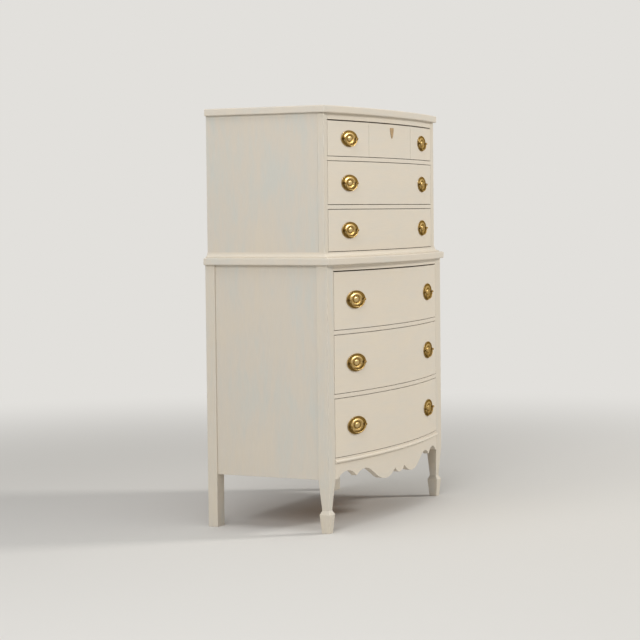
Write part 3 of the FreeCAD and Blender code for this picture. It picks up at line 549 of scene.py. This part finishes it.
def cove_lines():
    """The cove round three sides of the upper case, from its foot up the wall and back down."""
    section = [(0.0, 0.0), (0.0, COVE["height"]), (COVE["lip"], COVE["height"])]
    hollow = COVE["out"] - COVE["lip"]
    for step in range(MOULDING_STEPS + 1):
        turn = math.pi / 2 * step / MOULDING_STEPS
        section.append((COVE["out"] - hollow * math.cos(turn),
                        COVE["toe"] + hollow * (1 - math.sin(turn))))
    section.append((COVE["out"], 0.0))
    lines = []
    for outset, rise in section:
        level = WAIST_TOP + rise
        corner = FACES["upper"]["face"] - outset
        right = [Vector((UPPER_SIDE + outset, y, level)) * MM for y in (BACK, corner)]
        left = [Vector((-point.x, point.y, point.z)) for point in right]
        lines.append(left + bowed("upper", outset, level) + right[::-1])
    return lines


moulding("bead_moulding", bead_lines())
moulding("cove_moulding", cove_lines())


# ---------------------------------------------------------------- pulls

# Plate, distance of the posts, and depth of the wood from the face to the screws' heads.
PULLS = {
    "upper": {"width": 102 * MM, "height": 54 * MM, "bore": 76 * MM, "grip": 22.36 * MM},
    "lower": {"width": 114 * MM, "height": 59 * MM, "bore": 89 * MM, "grip": 22.55 * MM},
}
PIVOT_HEIGHT = 7 * MM


def set_brass_shine(mesh, levels):
    """Notes how bright the brass is at each point of a mesh."""
    mesh.attributes.new("polish_and_painted_reflection", "FLOAT", "POINT").data.foreach_set("value", levels)
    return mesh


# Relief of a plate from its rim to its middle: share of the half width, height above the wood in millimetres,
# and brightness of the brass. The brightness is low on the hollow border and in the groove round the boss,
# partly as tarnish in these hollows and partly as painted dark reflection of a dark room.
RELIEF = (
    (1.0, 0.0, 0.3), (1.0, 0.7, 0.5), (0.993, 1.2, 0.8), (0.978, 1.5, 1.0),
    (0.960, 1.45, 0.85), (0.944, 1.1, 0.3), (0.925, 0.85, 0.10), (0.86, 0.80, 0.30),
    (0.78, 0.85, 0.30), (0.720, 0.95, 0.05), (0.695, 1.2, 0.4), (0.64, 2.0, 0.9),
    (0.59, 2.75, 1.0), (0.55, 3.15, 1.0), (0.515, 3.25, 0.9), (0.48, 3.05, 0.7),
    (0.43, 2.4, 0.6), (0.38, 1.75, 0.5), (0.335, 1.35, 0.25), (0.305, 1.3, 0.0),
    (0.285, 1.7, 0.3), (0.26, 2.6, 0.8), (0.23, 3.4, 1.0), (0.18, 4.1, 1.0),
    (0.11, 4.5, 1.0), (0.05, 4.6, 1.0),
)
PLATE_STEPS = 96
# An inner ring of the relief keeps a little more of the plate's height than of its width.
HEIGHT_SHARE_POWER = 0.86
# The petals lie about one ring of the relief and fade to both sides of it.
PETALS = 12
PETAL_RING = 0.41
PETAL_SPAN = 0.10
PETAL_RELIEF = 0.35
PETAL_POLISH = 0.3


def plate_mesh(case):
    """Oval stamped plate: rolled rim, hollow border, inner ring, petals and a boss."""
    size = PULLS[case]
    rings, levels = [], []
    for share, height, polish_and_painted_reflection in RELIEF:
        across = share * size["width"] / 2
        up = share ** HEIGHT_SHARE_POWER * size["height"] / 2
        petals_here = max(0, 1 - abs(share - PETAL_RING) / PETAL_SPAN)
        ring = []
        for step in range(PLATE_STEPS):
            turn = math.tau * step / PLATE_STEPS
            petal = petals_here * (1 - math.cos(PETALS * turn)) / 2
            out = -(height + PETAL_RELIEF * petal) * MM
            ring.append((across * math.cos(turn), out, up * math.sin(turn)))
            # Brightness: painted dark reflection on the hollow border and round the boss, with tarnish there.
            levels.append(polish_and_painted_reflection + PETAL_POLISH * petal)
        rings.append(ring)
    work = bmesh.new()
    loft(work, rings)
    return set_brass_shine(finished_mesh(work, case + "_plate"), levels)


# Turnings, in millimetres: a post's radius and height above the wood, and a screw head's radius
# and height above its seat.
POST_TURNING = (
    (4.4, 0.9), (4.4, 1.6), (3.9, 2.1), (3.0, 2.7), (2.8, 3.5), (3.2, 4.4), (3.7, 5.4),
    (3.8, 6.6), (3.8, 8.0), (3.6, 9.0), (3.0, 9.9), (2.0, 10.5), (0.8, 10.8),
)
HEAD_TURNING = (
    (4.0, 0.0), (4.0, 0.7), (3.7, 1.3), (3.0, 1.9), (2.0, 2.3), (1.0, 2.48), (0.3, 2.5),
)
TURNING_STEPS = 32
# Height above the wood at which a post would be fully bright.
POST_BRIGHT = 20 * MM
# A screw's shank, in millimetres: its radius, and how far it stands out of the wood.
SHANK_RADIUS = 2.0
SHANK_END = 1.0
SCREW_POLISH = 0.3
SCREW_SHARP = 30
# The slot of a screw: half its width, the run of its walls, the height above the seat from which
# the head sinks to its floor, and the height of that floor.
SLOT_HALF = 0.45 * MM
SLOT_SLOPE = 0.05 * MM
SLOT_FROM = 1.2 * MM
SLOT_FLOOR = 1.4 * MM


def turned(work, turning, across):
    """A turned form standing out of the front at a distance from the middle of the pull."""
    turns = [math.tau * step / TURNING_STEPS for step in range(TURNING_STEPS)]
    loft(work, [[(across + radius * MM * math.cos(turn), -height * MM,
                  radius * MM * math.sin(turn)) for turn in turns]
                for radius, height in turning])


def post_mesh(case):
    """The two posts of a pull."""
    work = bmesh.new()
    for side in (-1, 1):
        turned(work, POST_TURNING, side * PULLS[case]["bore"] / 2)
    mesh = finished_mesh(work, case + "_posts")
    return set_brass_shine(mesh, [-vert.co.y / POST_BRIGHT for vert in mesh.vertices])


def screw_mesh(case):
    """The two screws of a pull, from the plate to their slotted heads inside the drawer."""
    grip = PULLS[case]["grip"]
    turning = [(SHANK_RADIUS, SHANK_END), (SHANK_RADIUS, -grip / MM)]
    turning += [(radius, -grip / MM - height) for radius, height in HEAD_TURNING]
    work = bmesh.new()
    for side in (-1, 1):
        turned(work, turning, side * PULLS[case]["bore"] / 2)
    for half in (SLOT_HALF, SLOT_HALF + SLOT_SLOPE):
        for side in (-1, 1):
            everything = work.verts[:] + work.edges[:] + work.faces[:]
            bmesh.ops.bisect_plane(work, geom=everything, plane_co=(0, 0, side * half),
                                   plane_no=(0, 0, 1))
    for vert in work.verts:
        if abs(vert.co.z) < SLOT_HALF + SLOT_SLOPE / 2 and vert.co.y > grip + SLOT_FROM:
            vert.co.y = grip + SLOT_FLOOR
    mesh = finished_mesh(work, case + "_screws", sharp=SCREW_SHARP)
    return set_brass_shine(mesh, [SCREW_POLISH] * len(mesh.vertices))


# A bail's line from its turn to the middle of its loop, as shares of its half span and drop.
BAIL_LINE = ((1.0, 0.16), (0.99, 0.32), (0.94, 0.50), (0.84, 0.66), (0.69, 0.80), (0.51, 0.90),
             (0.33, 0.96), (0.16, 0.99))
# The arms hang inside the posts, and their pins reach outward past the posts' middles.
ARM_INSET = 6.2 * MM
PIN_REACH = 2.6 * MM
# Drop of the loop, as a share of half the plate's height.
DROP_SHARE = 0.82
# The turn from a pin to its arm, and where between the two its middle lies.
TURN_RADIUS = 2.2 * MM
TURN_MIDDLE = 0.3
# The bar is slim at the arms and swells over the middle part of the loop.
BAR_RADIUS = 1.9 * MM
BAR_SLIM = 0.92
BAR_SWELL = 0.22
SWELL_SPAN = 0.62
SWELL_POWER = 0.8
LINE_STEPS = 4
SECTION_STEPS = 16
# Brightness of the bar's side, what its outer side has more and its side toward the plate less, and what
# the swell adds.
BAR_POLISH = 0.36
BAR_BRIGHTER_OUTSIDE = 0.36
BAR_POLISH_SWELL = 0.2


def smooth_line(points):
    """Points along a smooth line through the given ones (a Catmull-Rom spline)."""
    line = []
    ends = [points[0] * 2 - points[1], *points, points[-1] * 2 - points[-2]]
    for before, start, end, after in zip(ends, ends[1:], ends[2:], ends[3:]):
        for step in range(LINE_STEPS):
            t = step / LINE_STEPS
            line.append(0.5 * (2 * start + (end - before) * t
                               + (2 * before - 5 * start + 4 * end - after) * t ** 2
                               + (3 * start - before - 3 * end + after) * t ** 3))
    return line + [points[-1]]


def bail_mesh(case):
    """Swelled round bar: pins in the posts, a turn inside each, and a loop between them."""
    size = PULLS[case]
    half = size["bore"] / 2 - ARM_INSET
    fall = size["height"] / 2 * DROP_SHARE
    middle = TURN_MIDDLE * TURN_RADIUS
    right = [Vector((size["bore"] / 2 + PIN_REACH, 0, 0)), Vector((half + TURN_RADIUS, 0, 0)),
             Vector((half + middle, 0, -middle))]
    right += [Vector((across * half, 0, -down * fall)) for across, down in BAIL_LINE]
    left = [Vector((-point.x, 0, point.z)) for point in right]
    line = smooth_line(left + [Vector((0, 0, -fall))] + right[::-1])
    rings, levels = [], []
    for index, point in enumerate(line):
        ahead = line[min(index + 1, len(line) - 1)] - line[max(index - 1, 0)]
        outward = Vector((-ahead.z, 0, ahead.x)).normalized()
        swell = max(0.0, 1 - abs(point.x) / (SWELL_SPAN * half)) ** SWELL_POWER
        swell *= max(0.0, -point.z / fall)
        radius = BAR_RADIUS * (BAR_SLIM + BAR_SWELL * swell)
        ring = []
        for step in range(SECTION_STEPS):
            turn = math.tau * step / SECTION_STEPS
            out = Vector((0, -PIVOT_HEIGHT - radius * math.sin(turn), 0))
            ring.append(point + out + radius * math.cos(turn) * outward)
            levels.append(BAR_POLISH + BAR_BRIGHTER_OUTSIDE * math.sin(turn)
                          + BAR_POLISH_SWELL * swell)
        rings.append(ring)
    work = bmesh.new()
    loft(work, rings)
    return set_brass_shine(finished_mesh(work, case + "_bail"), levels)


def pull_seat(swing):
    """Where a pull stands on the bow: at the joint of its bail, square to the face there."""
    along = -Vector(swing["axis"])
    outward = Vector((along.y, -along.x, 0))
    foot = Vector(swing["pos_m"]) - PIVOT_HEIGHT * outward
    return Matrix.Translation(foot) @ Matrix.Rotation(math.atan2(along.y, along.x), 4, "Z")


PULL_MESHES = {case: {"plate": plate_mesh(case), "posts": post_mesh(case),
                      "screws": screw_mesh(case), "loop": bail_mesh(case)} for case in PULLS}
for number, case in CASE_OF.items():
    for word in ("left", "right"):
        tag = "drawer_%d_%s" % (number, word)
        seat = pull_seat(JOINTS[tag + "_bail_swing"])
        for part, mesh in PULL_MESHES[case].items():
            node = tag + "_bail" if part == "loop" else "drawer_%d_pulls" % number
            add_piece("%s_%s" % (tag, part), mesh, node, BRASS, seat)


# ---------------------------------------------------------------- floor, light and camera

BACKGROUND = colour(226, 224, 220)
FLOOR_COLOUR = colour(213, 211, 207)
FLOOR_ROUGH = 0.8
FLOOR_REACH = 30.0
FLOOR_STEPS = 96
# Distances from the dresser at which the floor starts and ends its fade into the background.
FLOOR_FADE = (1.3, 4.5)
# The light that comes evenly from all around.
ROOM_TINT = (1.0, 0.99, 0.97, 1.0)
ROOM_STRENGTH = 0.32
# Name, place, the point that it faces, side of its square, watts and tint.
LAMPS = (
    ("key", (3.2, -4.9, 3.8), (0, 0, 0.7), 1.2, 206, (1.0, 0.98, 0.94)),
    ("side", (-5.2, -1.2, 3.4), (0, 0, 0.7), 2.4, 132, (0.98, 0.99, 1.0)),
    ("over", (-1.4, 0.1, 4.6), (0, 0, 0.6), 2.6, 62, (1.0, 1.0, 1.0)),
)
# The photograph's view: the turn from +Y towards +X, the tilt and the roll in degrees, the lens
# and its sensor in millimetres, and how far the camera sees.
CAMERA_PLACE = (-5.9952, -2.8520, 1.0325)
CAMERA_YAW = 64.053
CAMERA_PITCH = -3.203
CAMERA_ROLL = -0.596
CAMERA_LENS = 108.56
CAMERA_SENSOR = 36.0
CAMERA_SIGHT = 200.0


def seen_directly(tree):
    """1 for rays from the camera and for what gloss and glass show, else 0."""
    path = tree.nodes.new("ShaderNodeLightPath")
    seen = path.outputs["Is Camera Ray"]
    for ray in ("Is Glossy Ray", "Is Transmission Ray"):
        either = tree.nodes.new("ShaderNodeMath")
        either.operation = "MAXIMUM"
        tree.links.new(seen, either.inputs[0])
        tree.links.new(path.outputs[ray], either.inputs[1])
        seen = either.outputs[0]
    return seen


def studio_floor():
    """A round pale floor that fades into the background away from the dresser."""
    work = bmesh.new()
    bmesh.ops.create_circle(work, cap_ends=True, radius=FLOOR_REACH, segments=FLOOR_STEPS)
    mesh = bpy.data.meshes.new("floor")
    work.to_mesh(mesh)
    work.free()
    floor = put_in_scene("floor", mesh)
    finish = Finish("floor", Base_Color=FLOOR_COLOUR, Roughness=FLOOR_ROUGH)
    far = finish.add("ShaderNodeVectorMath", operation="LENGTH")
    finish.join(finish.place, far.inputs[0])
    gone = finish.fade(far.outputs["Value"], *FLOOR_FADE, interpolation_type="SMOOTHSTEP")
    backdrop = finish.add("ShaderNodeEmission")
    backdrop.inputs["Color"].default_value = BACKGROUND
    blend = finish.add("ShaderNodeMixShader")
    finish.join(finish.times(gone, seen_directly(finish.tree)), blend.inputs[0])
    finish.join(finish.shader.outputs[0], blend.inputs[1])
    finish.join(backdrop.outputs[0], blend.inputs[2])
    finish.join(blend.outputs[0], finish.tree.nodes["Material Output"].inputs["Surface"])
    mesh.materials.append(finish.material)


def studio_world():
    """An even pale room; what the camera and gloss see of it is the background."""
    world = bpy.data.worlds.new("studio")
    bpy.context.scene.world = world
    world.use_nodes = True
    nodes, links = world.node_tree.nodes, world.node_tree.links
    nodes.clear()
    seen = nodes.new("ShaderNodeBackground")
    seen.inputs["Color"].default_value = BACKGROUND
    lit = nodes.new("ShaderNodeBackground")
    lit.inputs["Color"].default_value = ROOM_TINT
    lit.inputs["Strength"].default_value = ROOM_STRENGTH
    chosen = nodes.new("ShaderNodeMixShader")
    links.new(seen_directly(world.node_tree), chosen.inputs[0])
    links.new(lit.outputs[0], chosen.inputs[1])
    links.new(seen.outputs[0], chosen.inputs[2])
    links.new(chosen.outputs[0], nodes.new("ShaderNodeOutputWorld").inputs[0])


def softbox(name, place, target, size, power, tint):
    """A square area lamp that faces a point."""
    lamp = bpy.data.lights.new(name, "AREA")
    lamp.size = size
    lamp.energy = power
    lamp.color = tint
    holder = put_in_scene(name, lamp)
    holder.location = place
    facing = (Vector(target) - Vector(place)).to_track_quat("-Z", "Y")
    holder.rotation_euler = facing.to_euler()


def photograph_camera():
    """A camera that sees the dresser as the photograph does."""
    yaw, pitch, roll = (math.radians(turn) for turn in (CAMERA_YAW, CAMERA_PITCH, CAMERA_ROLL))
    ahead = Vector((math.sin(yaw) * math.cos(pitch), math.cos(yaw) * math.cos(pitch),
                    math.sin(pitch)))
    level = Vector((math.cos(yaw), -math.sin(yaw), 0))
    upright = level.cross(ahead)
    right = level * math.cos(roll) + upright * math.sin(roll)
    up = upright * math.cos(roll) - level * math.sin(roll)
    lens = bpy.data.cameras.new("camera")
    lens.lens = CAMERA_LENS
    lens.sensor_width = CAMERA_SENSOR
    lens.clip_end = CAMERA_SIGHT
    camera = put_in_scene("camera", lens)
    aim = Matrix((right, up, -ahead)).transposed().to_4x4()
    camera.matrix_world = Matrix.Translation(CAMERA_PLACE) @ aim
    bpy.context.scene.camera = camera


studio_floor()
studio_world()
for lamp in LAMPS:
    softbox(*lamp)
photograph_camera()
bpy.context.scene.view_settings.view_transform = "Standard"
